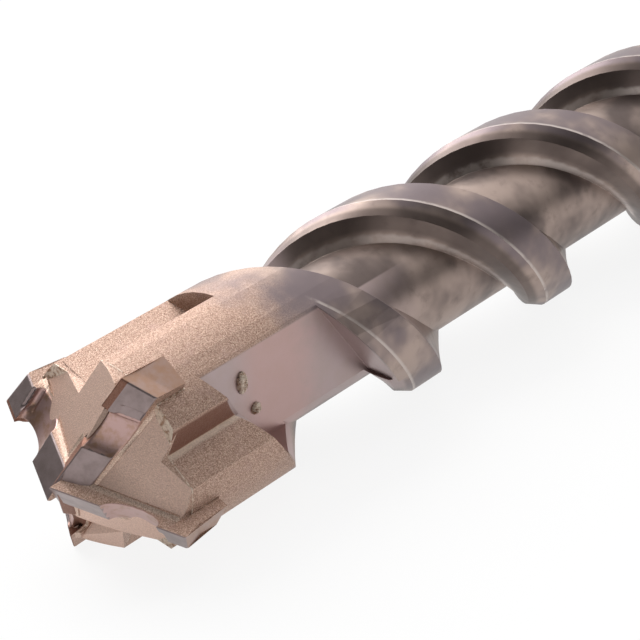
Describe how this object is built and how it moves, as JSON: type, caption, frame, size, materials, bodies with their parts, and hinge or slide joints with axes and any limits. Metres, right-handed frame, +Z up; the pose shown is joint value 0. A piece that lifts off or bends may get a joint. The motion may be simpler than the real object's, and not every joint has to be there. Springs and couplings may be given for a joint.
{
  "type": "hammer drill bit",
  "caption": "Fluted masonry drill bit with a cross-shaped hard metal head, twin helical flutes and a grooved quick-change shank, lying flat.",
  "frame": {"origin": "on the floor under the middle of the bit's length and width", "axes": "+X along the bit from the cutting point to the shank's end, +Z up, lying as it comes to rest on its lands and one wing's corner"},
  "size_m": [0.2, 0.0184, 0.0172],
  "materials": {
    "blasted_steel": "blasted and worn, gold-brown to lilac-grey",
    "hard_metal": "fine matt, sintered",
    "braze": "rough, as set"
  },
  "bodies": {
    "root": {"steel_body": "blasted_steel", "carbide_head": "hard_metal", "braze_joint": "braze", "long_braze_bead": "braze", "short_braze_bead": "braze"}
  },
  "joints": []
}
